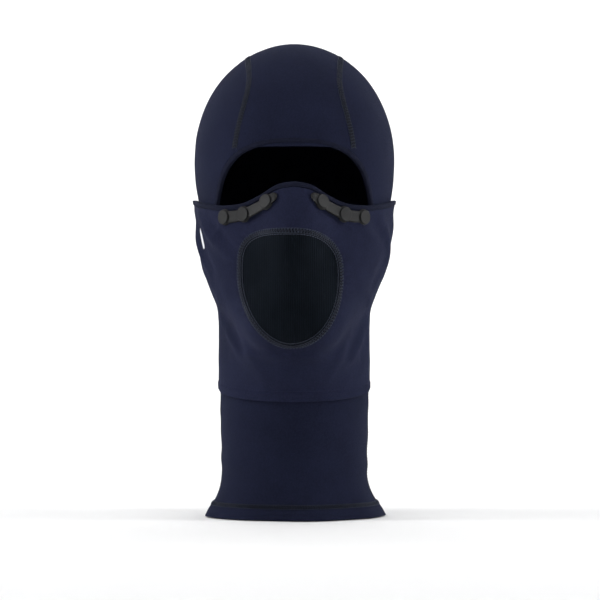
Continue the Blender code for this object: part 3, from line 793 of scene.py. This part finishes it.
def rib_material(name, groove_painted_shade, ridge):
    """A fine upright rib knit, with painted shade down in its grooves."""
    made = new_material(name, ridge, 0.9, 0.03, NAP_TINT)
    nodes = Nodes(made)
    parts = nodes.add("ShaderNodeSeparateXYZ")
    nodes.link(nodes.cloth_place((1 / RIB_PITCH, 1 / (0.6 * MM), 1)), parts.inputs[0])
    column = nodes.math("PINGPONG", parts.outputs[0], 0.5)
    row = nodes.math("PINGPONG", parts.outputs[1], 0.5)
    fuzz = nodes.noise(2400, 2.0, 0.6)
    patches = nodes.noise(30, 3.0)
    level = nodes.math("ADD", nodes.math("MULTIPLY", column, 1.5), nodes.math("MULTIPLY", row, 0.3))
    shade = nodes.math("ADD", level, nodes.between(fuzz, -0.35, 0.35))
    shade = nodes.math("ADD", shade, nodes.between(patches, -0.5, 0.5))
    # Painted shade: across each rib the colour runs from the dark groove colour up to the ridge colour.
    nodes.colour_by(nodes.clamp(shade), groove_painted_shade, ridge)
    nodes.raise_by(nodes.math("ADD", level, fuzz), 0.09 * MM, 0.8)
    return made


def thread_material(name, dark, light):
    """Twisted polyester thread."""
    made = new_material(name, dark, 0.55, 0.25, (0.7, 0.75, 0.9))
    nodes = Nodes(made)
    twist = nodes.noise(2200, 2.0)
    nodes.colour_by(twist, dark, light)
    nodes.raise_by(twist, 0.08 * MM, 0.7)
    return made


def plastic_material(name, colour, roughness):
    """Soft moulded plastic with a fine spark-eroded grain."""
    made = new_material(name, colour, roughness, specular=0.3)
    nodes = Nodes(made)
    grain = nodes.noise(1800, 3.0, 0.7)
    wear = nodes.noise(60, 4.0)
    nodes.roughen_by(wear, roughness - 0.08, roughness + 0.14)
    nodes.colour_by(wear, colour, tuple(c * 1.8 for c in colour))
    nodes.raise_by(grain, 0.04 * MM, 0.6)
    return made


def metal_material(name):
    """Nickel plate with fine turning marks."""
    made = new_material(name, (0.56, 0.55, 0.53), 0.28, metallic=1.0, specular=0.5)
    nodes = Nodes(made)
    marks = nodes.noise(900, 3.0)
    nodes.roughen_by(marks, 0.2, 0.42)
    nodes.raise_by(marks, 0.01 * MM, 0.4)
    return made


def print_material(name):
    """Pale reflective transfer print, slightly worn through to the knit."""
    made = new_material(name, (0.78, 0.79, 0.81), 0.32, specular=0.5)
    nodes = Nodes(made)
    wear = nodes.noise(1400, 4.0, 0.7)
    nodes.colour_by(wear, (0.62, 0.63, 0.66), (0.86, 0.87, 0.89))
    nodes.roughen_by(wear, 0.22, 0.5)
    nodes.raise_by(wear, 0.03 * MM, 0.5)
    return made


def satin_material(name):
    """White woven satin ribbon."""
    made = new_material(name, (0.72, 0.72, 0.70), 0.42, 0.2, specular=0.3)
    nodes = Nodes(made)
    weave = nodes.noise(1.0, 2.0, place=nodes.cloth_place((7000, 1200, 1)))
    nodes.colour_by(weave, (0.62, 0.62, 0.60), (0.82, 0.82, 0.80))
    nodes.raise_by(weave, 0.05 * MM, 0.5)
    return made


def stage_material(name, shade):
    """Plain white paper, very slightly uneven."""
    made = new_material(name, (shade, shade, shade), 0.9)
    nodes = Nodes(made)
    paper = nodes.noise(30, 3.0)
    nodes.colour_by(paper, (shade * 0.985,) * 3, (shade,) * 3)
    return made


# Name, dark and light shade (the dark end partly painted shade in the knit's grooves), stitch width, stitch
# height and depth.
MASK_CLOTH = fleece_material(
    "mask_fleece_knit", (0.0065, 0.0076, 0.0175), (0.0160, 0.0186, 0.0420), 0.75 * MM, 0.62 * MM, 0.10 * MM
)
HOOD_CLOTH = fleece_material(
    "hood_jersey_knit", (0.0052, 0.0062, 0.0145), (0.0130, 0.0154, 0.0345), 0.85 * MM, 0.70 * MM, 0.11 * MM
)
# The first colour is painted shade for the rib grooves, the second the lit ridges.
MOUTH_CLOTH = rib_material("mouth_rib_knit", (0.0018, 0.0028, 0.0042), (0.0068, 0.0095, 0.0138))
BINDING_CLOTH = fleece_material(
    "binding_knit", (0.0050, 0.0058, 0.0120), (0.0110, 0.0125, 0.0250), 0.50 * MM, 0.50 * MM, 0.06 * MM
)
THREAD = thread_material("seam_thread", (0.007, 0.0085, 0.016), (0.021, 0.025, 0.042))
MOUTH_THREAD = thread_material("mouth_seam_thread", (0.014, 0.017, 0.027), (0.042, 0.049, 0.070))
# A darker copy of the thread colour: painted shade for the band under the raised loops.
SEAM_BED_SHADE = thread_material("seam_bed_shaded_thread", (0.0012, 0.0015, 0.0030), (0.0045, 0.0053, 0.0090))
STRIP_PLASTIC = plastic_material("strip_soft_plastic", (0.0020, 0.0022, 0.0028), 0.62)
MAGNET_METAL = metal_material("magnet_nickel")
MARK_PRINT = print_material("mark_print")
LABEL_SATIN = satin_material("label_ribbon")


# ---- hood and neck


SIDE_COLUMNS, SIDE_ROWS = 70, 62


def on_hood(piece, node):
    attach(piece, "hood")
    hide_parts(node)


def hood_cloth(name, node, grid, uv):
    piece = cloth(name, grid, HOOD_FACE, HOOD_THICKNESS, HOOD_CLOTH, hood_shape, uv=uv)
    on_hood(piece, node)


def make_crown():
    upper, rear = crown_seam(SIDE_COLUMNS, SIDE_ROWS)
    seam = np.vstack([upper, rear[1:]])
    across = np.linspace(-1, 1, 44)
    grid = seam[:, None] * [0, 1, 1] + seam[:, None] * [1, 0, 0] * across[None, :, None]
    brow_angle, _ = opening_edge(BROW_CORNER)
    grid[0] = on_form(around(brow_angle * across, brow_height(brow_angle * across)), 0)
    grid[-1] = on_form(around(math.pi + (nape_angle() - math.pi) * across, NAPE_END[2] * MM), 0)
    along = np.concatenate([[0], np.cumsum(np.linalg.norm(np.diff(seam, axis=0), axis=1))])
    grid = shrink(on_form(grid, 0))
    hood_cloth("crown_cloth", "crown_panel", grid, uv_grid(grid[..., 0], along[:, None]))


def side_grid():
    """The side panel on the +X side, ruled between the jaw and neck seam, the crown seam, face and nape."""
    upper, rear = crown_seam(SIDE_COLUMNS, SIDE_ROWS)
    front = on_form(around(*opening_edge(np.linspace(JAW_CORNER, BROW_CORNER, SIDE_ROWS))), 0)
    jaw_angle, _ = opening_edge(JAW_CORNER)
    angle = np.linspace(jaw_angle, nape_angle(), SIDE_COLUMNS)
    bottom = on_form(around(angle, neck_seam_height(angle)), 0)
    back, top = rear[::-1], upper
    u = np.linspace(0, 1, SIDE_COLUMNS)[None, :, None]
    v = np.linspace(0, 1, SIDE_ROWS)[:, None, None]
    ruled = (1 - v) * bottom[None] + v * top[None] + (1 - u) * front[:, None] + u * back[:, None]
    corners = (1 - u) * ((1 - v) * bottom[0] + v * top[0]) + u * ((1 - v) * bottom[-1] + v * top[-1])
    return shrink(on_form(ruled - corners, 0))


def make_hood_side(side, word):
    grid = on_side(side_grid(), side)
    hood_cloth(f"hood_side_cloth_{word}", f"hood_side_{word}", grid, grid[..., 1:])


def make_neck(word, first_angle, last_angle):
    angle = np.linspace(first_angle, last_angle, 110)
    folded = np.abs((angle + math.pi) % (2 * math.pi) - math.pi)
    grid = grid_between((angle, neck_seam_height(folded)), (angle, NECK_TUBE_BOTTOM), 90)
    grid = shrink(on_form(grid, 0))
    hood_cloth(f"neck_{word}_cloth", f"neck_{word}", grid, uv_grid(angle * NECK_RADIUS, grid[..., 2]))


def make_hem():
    """The turned hem: a rounded double layer below the stitch line."""
    angle = ring_turns(240)
    share = np.linspace(0, 1, 9)[:, None]
    grid = around(angle, np.linspace(NECK_TUBE_BOTTOM, HEM_BOTTOM + 0.6 * MM, 9)[:, None])
    swell = 0.5 * np.sin(math.pi * np.clip(share * 1.15, 0, 1)) * MM

    def shape(points):
        return hood_shape(points) + swell

    face, thickness, uv = HOOD_FACE + 0.5 * MM, 2.2 * MM, uv_grid(angle * HEM_RADIUS, grid[..., 2])
    piece = cloth("neck_hem_cloth", grid, face, thickness, HOOD_CLOTH, shape, closed=True, uv=uv)
    on_hood(piece, "neck_hem")


def binding_profile(rows):
    """A folded band's rounded outer face, row by row: 0 at both edges, 1 in the middle."""
    across = np.linspace(-1, 1, rows)[:, None]
    return (1 - np.abs(across) ** 3.5) ** 0.5


def make_face_binding():
    t = np.arange(420) / 420 * 2
    folded, side = np.where(t > 1, 2 - t, t), np.where(t > 1, -1, 1)
    inset = np.linspace(0.1 * MM, BINDING_WIDTH, BINDING_ROWS)[:, None]
    angle, height = opening_edge(folded, inset)
    swell = binding_profile(BINDING_ROWS) * (0.9 + 0.12 * np.sin(t * math.pi * 60)) * MM

    def shape(points):
        return 0.22 * MM * ripple(points, 5, 0.06) + swell - 0.3 * MM

    grid = around(angle * side, height)
    piece = cloth("face_binding_band", grid, HOOD_FACE, 2.0 * MM, BINDING_CLOTH, shape, closed=True)
    on_hood(piece, "face_binding")


def lifted(path, face, shape):
    """A path moved out onto the cloth's outer face."""
    base = on_form(path, face)
    return on_form(base, face + shape(base))


def hood_seam(name, node, path, width=SEAM_WIDTH, closed=False, step=LOOP_STEP):
    on_hood(cover_stitch(name, path, width, 0.0, THREAD, closed, step), node)


def make_hood_seams():
    upper, rear = crown_seam(60, 60)
    crown_path = np.vstack([upper, rear[1:]])[1:-1]
    for side, word in ((1, "left"), (-1, "right")):
        path = lifted(on_side(crown_path, side), HOOD_FACE, hood_shape)
        hood_seam(f"crown_stitch_{word}", f"crown_seam_thread_{word}", path)

        angle = side * math.pi / 2
        height = np.linspace(neck_seam_height(angle) - SEAM_WIDTH / 2, NECK_TUBE_BOTTOM, 80)
        path = lifted(around(angle, height), HOOD_FACE, hood_shape)
        hood_seam(f"neck_side_stitch_{word}", f"neck_side_thread_{word}", path)

        angle = side * (MASK_SIDE_ANGLE + 2.6 * MM / EAR_RADIUS)
        height = np.linspace(mask_top_height(MASK_SIDE_ANGLE), MASK_BOTTOM_SIDE, 80)
        path = on_form(around(angle, height), HOOD_FACE + 0.6 * MM)
        hood_seam(f"mask_side_stitch_{word}", f"mask_side_thread_{word}", path)

    first_angle = opening_edge(JAW_CORNER)[0] + 0.09  # clear of the face binding
    angle = np.linspace(first_angle, 2 * math.pi - first_angle, 200)
    folded = np.minimum(angle, 2 * math.pi - angle)
    path = lifted(around(angle, neck_seam_height(folded)), HOOD_FACE, hood_shape)
    hood_seam("neck_seam_stitch", "neck_seam_thread", path)

    path = lifted(around(ring_turns(240), NECK_TUBE_BOTTOM - 1.5 * MM), HOOD_FACE + 0.8 * MM, hood_shape)
    hood_seam("hem_stitch", "hem_thread", path, HEM_SEAM_WIDTH, True, HEM_LOOP_STEP)


def make_label():
    """A blank satin label, sewn along its top edge and curling a little at its foot."""
    low, high = (np.array(corner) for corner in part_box("care_label"))
    x = np.linspace(low[0], high[0], 25)
    down = np.linspace(0, 1, 40)[:, None]
    y = (low[1] + high[1]) / 2 - 1.2 * MM * down**3
    z = high[2] + (low[2] - high[2]) * down
    layers = [np.stack(np.broadcast_arrays(x, y + away, z), axis=-1) for away in (-0.15 * MM, 0.15 * MM)]
    points = np.vstack([layer.reshape(-1, 3) for layer in layers])
    uv = uv_grid(x, z).reshape(-1, 2)
    faces = layer_faces(40, 25, False)[:, ::-1].tolist()
    piece = make_object("label_ribbon", points, faces, np.vstack([uv, uv]), LABEL_SATIN)
    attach(piece, "label")
    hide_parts("care_label")


# ---- the mask


def on_mask(piece, node):
    """Bake the piece's placement into its mesh and hide the frame's part that it replaces."""
    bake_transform(piece)
    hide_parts(node)


def mask_outline():
    """Angles and heights all round the mask's edge, from the nose down the +X side and up the other."""
    top_angle = np.linspace(0, MASK_SIDE_ANGLE, 71)[:-1]
    side = np.linspace(mask_top_height(MASK_SIDE_ANGLE), MASK_BOTTOM_SIDE, 43)[:-1]
    bottom_angle = np.linspace(MASK_SIDE_ANGLE, 0, 57)
    angle = np.concatenate([top_angle, np.full(len(side), MASK_SIDE_ANGLE), bottom_angle])
    height = np.concatenate([mask_top_height(top_angle), side, mask_bottom_height(bottom_angle)])
    return np.concatenate([angle, -angle[-2:0:-1]]), np.concatenate([height, height[-2:0:-1]])


def seam_dip(points):
    """The groove of the mouth seam, and the cloth drawn in beside it."""
    x, z = points[..., 0] - MOUTH_CENTRE[0], points[..., 2] - MOUTH_CENTRE[1]
    turn = np.arctan2(z, x)
    edge_x, edge_z = mouth_edge(turn)
    away = np.hypot(x, z) - np.hypot(edge_x - MOUTH_CENTRE[0], edge_z - MOUTH_CENTRE[1])
    front = points[..., 1] < -0.02
    pucker = 0.12 * MM * bump(away - 3.5 * MM, 3.5 * MM) * np.sin(turn * 46 + 2 * np.sin(turn * 5))
    return np.where(front, pucker - 0.45 * MM * bump(away, 1.6 * MM), 0.0)


def mask_surface(points):
    return mask_shape(points) + seam_dip(points)


def make_mask_cloth():
    angle, height = mask_outline()
    turn = np.arctan2(height - MOUTH_CENTRE[1], angle * MASK_RADIUS - MOUTH_CENTRE[0])
    grid = grid_between(mouth_loop(turn), (angle, height), 70)
    piece = cloth("mask_cloth", grid, MASK_FACE, MASK_THICKNESS, MASK_CLOTH, mask_surface, closed=True)
    on_mask(piece, "mask_shell")


def make_mouth_cloth():
    """The mouth panel: rows of fine upright ribs, as real ridges, inside the seam."""
    x = MOUTH_CENTRE[0] + np.linspace(-1, 1, 390) * (MOUTH_HALF_WIDTH - 0.1 * MM)
    edge_x, edge_z = mouth_edge(np.linspace(math.pi, 0, 900), -SEAM_GAP)
    top = np.interp(x, edge_x, edge_z)
    edge_x, edge_z = mouth_edge(np.linspace(-math.pi, 0, 900), -SEAM_GAP)
    low = np.minimum(np.interp(x, edge_x, edge_z), top - 0.5 * MM)
    share = np.linspace(0, 1, 80)[:, None]
    z = top * (1 - share) + low * share
    ribs = RIB_HEIGHT * np.abs(np.sin(math.pi * x / RIB_PITCH)) ** 0.7

    def shape(points):
        return mask_surface(points) + ribs - 0.10 * MM

    grid, face = around(front_angle(x, z), z), MASK_FACE - 0.25 * MM
    piece = cloth("mouth_rib_cloth", grid, face, MASK_THICKNESS, MOUTH_CLOTH, shape, uv=uv_grid(x, z))
    on_mask(piece, "mouth_panel")


def make_mouth_seam():
    """The cover stitch round the mouth panel, and the needle line along its inner edge."""
    turn = ring_turns(360)
    path = lifted(around(*mouth_loop(turn, MOUTH_SEAM_MIDDLE)), MASK_FACE, mask_surface)
    piece = cover_stitch("mouth_cover_stitch", path, MOUTH_SEAM_WIDTH, 0.1 * MM, MOUTH_THREAD, closed=True)
    on_mask(piece, "mouth_cover_thread")
    path = lifted(around(*mouth_loop(turn, NEEDLE_MIDDLE)), MASK_FACE, mask_surface)
    piece = needle_stitch("mouth_needle_stitch", path, 0.1 * MM, MOUTH_THREAD)
    on_mask(piece, "mouth_needle_thread")


def make_top_binding():
    angle = np.linspace(-MASK_SIDE_ANGLE, MASK_SIDE_ANGLE, 300)
    rise = np.linspace(0.05 * MM, BINDING_WIDTH, BINDING_ROWS)[:, None]
    grid = around(angle, mask_top_height(angle) + rise)
    swell = binding_profile(BINDING_ROWS) * 0.9 * MM

    def shape(points):
        return mask_shape(points) + swell - 0.3 * MM

    piece = cloth("top_binding_band", grid, MASK_FACE, 2.0 * MM, BINDING_CLOTH, shape)
    on_mask(piece, "mask_top_binding")


def make_mask_hem():
    angle = np.linspace(-MASK_SIDE_ANGLE, MASK_SIDE_ANGLE, 240)
    share = np.linspace(0, 1, 12)[:, None]
    drop = np.linspace(0.05 * MM, MASK_HEM_WIDTH, 12)[:, None]
    grid = around(angle, mask_bottom_height(angle) - drop)
    swell = (0.5 * binding_profile(12) - 0.45 * bump(share - 0.12, 0.08)) * MM

    def shape(points):
        return mask_shape(points) + swell

    piece = cloth("mask_hem_cloth", grid, MASK_FACE, 1.9 * MM, MASK_CLOTH, shape)
    on_mask(piece, "mask_hem")


def strip_middle(angle):
    return mask_top_height(angle) - STRIP_WIDTH / 2 - 0.3 * MM


def turned_disc(profile, place, facing, sides=36):
    """Vertices and faces of a disc turned from a profile of (radius, height), from rim to middle."""
    across = unit(np.cross(facing, (0, 0, 1)))
    up = np.cross(across, facing)
    turn = ring_turns(sides)
    ring = across * np.cos(turn)[:, None] + up * np.sin(turn)[:, None]
    radius, height = np.array(profile).T * MM
    points = place + radius[:, None, None] * ring + height[:, None, None] * facing
    faces = quads(len(profile), sides, True).tolist()
    faces.append(list(range((len(profile) - 1) * sides, len(profile) * sides)))
    return points.reshape(-1, 3), faces


PAD_PROFILE = (
    # radius and height in mm, from the foot to the flat top
    *((6.2, -0.4), (5.9, 0.9), (5.55, 1.1), (5.42, 1.4)),
    *((5.4, 2.1), (5.3, 2.35), (5.05, 2.5), (4.8, 2.5)),
)


def make_strip(side, word):
    """A soft moulded strip with rounded edges and a round flat pad over each magnet."""
    angle = np.linspace(STRIP_START, STRIP_END, 150) * side
    across = np.linspace(-1, 1, 33)[:, None]
    ends = np.clip(np.minimum(np.arange(150), np.arange(150)[::-1]) / 16, 0, 1)[None]
    narrow = np.sqrt(np.clip(1 - (1 - ends) ** 2, 0.02, 1))
    grid = around(angle, strip_middle(angle)[None] - across * narrow * STRIP_WIDTH / 2)
    edge = np.clip((1 - np.abs(across)) * 4, 0, 1) * np.clip(ends * 3, 0, 1)
    rise = (0.1 + 1.4 * np.sqrt(1 - (1 - edge) ** 2)) * MM
    lot = [cloth_layer(grid, MASK_FACE + 0.4 * MM, rise, rise - 0.05 * MM)]
    for degrees in PAD_ANGLES:
        turn = side * math.radians(degrees)
        place = on_form(around([turn], strip_middle(turn)), PAD_FACE)
        lot.append(turned_disc(PAD_PROFILE, place[0], form_normal(place, 3 * MM)[0]))
    points, faces = join_lots(lot)
    piece = make_object(f"magnet_strip_cover_{word}", points, faces, None, STRIP_PLASTIC)
    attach(piece, "mask")
    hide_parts(f"magnet_strip_{word}")


def make_mark():
    """A plain slanting bar of reflective print on the wearer's right cheek."""
    along = np.linspace(-0.5, 0.5, 40)[None]
    across = np.linspace(-1, 1, 14)[:, None]
    half = MARK_WIDTH / 2 * np.sqrt(np.clip(1 - (2 * np.abs(along)) ** 6, 0.03, 1))
    x = along * MARK_LENGTH * math.sin(MARK_TILT) + across * half * math.cos(MARK_TILT)
    z = along * MARK_LENGTH * -math.cos(MARK_TILT) + across * half * math.sin(MARK_TILT)
    grid = around(MARK_ANGLE + x / CHEEK_RADIUS, MARK_HEIGHT + z)
    piece = cloth("cheek_mark_print", grid, MASK_FACE + 0.14 * MM, 0.12 * MM, MARK_PRINT, mask_shape)
    on_mask(piece, "cheek_mark")


# ---- the cloth's flat sizes

# Each cut piece before it is stretched: width and length in m, area in m2, what it is sewn to, what is on it.
CUTS = {
    "crown_cloth": ((0.080, 0.350), 0.0255, ("hood_side_left", "hood_side_right"), ()),
    "hood_side_cloth_left": ((0.165, 0.215), 0.0290, ("crown_panel", "neck_back"), ()),
    "hood_side_cloth_right": ((0.165, 0.215), 0.0290, ("crown_panel", "neck_back"), ()),
    "neck_front_cloth": (
        (0.165, 0.150), 0.0225, ("neck_back", "hood_side_left"), ("neck_hem_cloth", "hem_stitch")
    ),
    "neck_back_cloth": ((0.165, 0.155), 0.0254, ("neck_front", "hood_side_left"), ()),
    "face_binding_band": ((0.010, 0.410), 0.0041, ("crown_panel", "hood_side_left", "hood_side_right"), ()),
    "mask_cloth": ((0.225, 0.155), 0.0276, ("hood_side_left", "hood_side_right"), ("mask_hem_cloth",)),
    "mouth_rib_cloth": ((0.080, 0.090), 0.0058, ("mask_shell",), ()),
    "top_binding_band": ((0.010, 0.235), 0.0023, ("mask_shell",), ()),
}


def declare_cloth():
    pieces = bpy.data.objects
    for name, (flat, area, sewn_to, on_it) in CUTS.items():
        on_it = [pieces[other] for other in on_it]


# ---- stage, light and camera

CAMERA_DISTANCE = 2.2
FACE_Y = -0.095
FRAME_WIDTH = 600 * 0.74 * MM  # what the camera sees across at the face
VIEW_X, VIEW_Z = 4.4 * MM, -66.7 * MM


def make_stage():
    """A round white sweep: a floor that curves up into a wall on every side."""
    floor = cad_box[0][2] - 0.5 * MM
    radius, bend, height, sides = 3.2, 0.9, 3.2, 96
    profile = [(0.02, floor)]
    for turn in np.linspace(0, math.pi / 2, 20):
        profile.append((radius - bend + bend * math.sin(turn), floor + bend * (1 - math.cos(turn))))
    profile.append((radius, floor + height))
    points = [(r * math.cos(t), r * math.sin(t), z) for r, z in profile for t in ring_turns(sides)]
    faces = quads(len(profile), sides, True).tolist() + [list(range(sides))]
    stage = make_object("studio_sweep", np.array(points), faces, None, stage_material("sweep_paper", 0.84))


def add_light(name, place, target, size, power_w):
    data = bpy.data.lights.new(name, "AREA")
    data.shape = "RECTANGLE"
    data.size, data.size_y = size
    data.energy = power_w
    lamp = bpy.data.objects.new(name, data)
    lamp.location = place
    lamp.rotation_euler = (Vector(target) - Vector(place)).to_track_quat("-Z", "Y").to_euler()
    bpy.context.scene.collection.objects.link(lamp)


def make_lights():
    aim = (0, 0, -0.03)
    add_light("side_box_left", (2.0, -0.35, 0.75), aim, (0.6, 1.2), 27)
    add_light("side_box_right", (-2.0, -0.35, 0.75), aim, (0.6, 1.2), 30)
    add_light("top_box", (0, -0.9, 2.3), aim, (1.2, 0.8), 14)
    add_light("back_box", (0, 1.2, 2.2), (0, 3.2, 0.2), (2.6, 1.0), 60)
    world = bpy.data.worlds.new("studio")
    world.use_nodes = True
    background = world.node_tree.nodes["Background"]
    background.inputs["Color"].default_value = (0.95, 0.97, 1.0, 1)
    background.inputs["Strength"].default_value = 0.22
    bpy.context.scene.world = world
    bpy.context.scene.view_settings.view_transform = "Standard"


def make_camera():
    data = bpy.data.cameras.new("camera")
    data.sensor_width = 36
    data.lens = 36 * CAMERA_DISTANCE / FRAME_WIDTH
    data.clip_end = 20
    camera = bpy.data.objects.new("camera", data)
    camera.location = (VIEW_X, FACE_Y - CAMERA_DISTANCE, VIEW_Z)
    camera.rotation_euler = (math.pi / 2, 0, 0)
    bpy.context.scene.collection.objects.link(camera)
    bpy.context.scene.camera = camera


# ---- the whole scene

make_crown()
make_neck("front", -math.pi / 2, math.pi / 2)
make_neck("back", math.pi / 2, 3 * math.pi / 2)
make_hem()
make_face_binding()
make_hood_seams()
make_label()
make_mask_cloth()
make_mouth_cloth()
make_mouth_seam()
make_top_binding()
make_mask_hem()
make_mark()
for side, word in ((1, "left"), (-1, "right")):
    make_hood_side(side, word)
    make_strip(side, word)
    for number in (1, 2, 3):
        magnet = frame["nodes"][f"magnet_{word}_{number}"]
        magnet.data.materials.clear()
        magnet.data.materials.append(MAGNET_METAL)
declare_cloth()
make_stage()
make_lights()
make_camera()
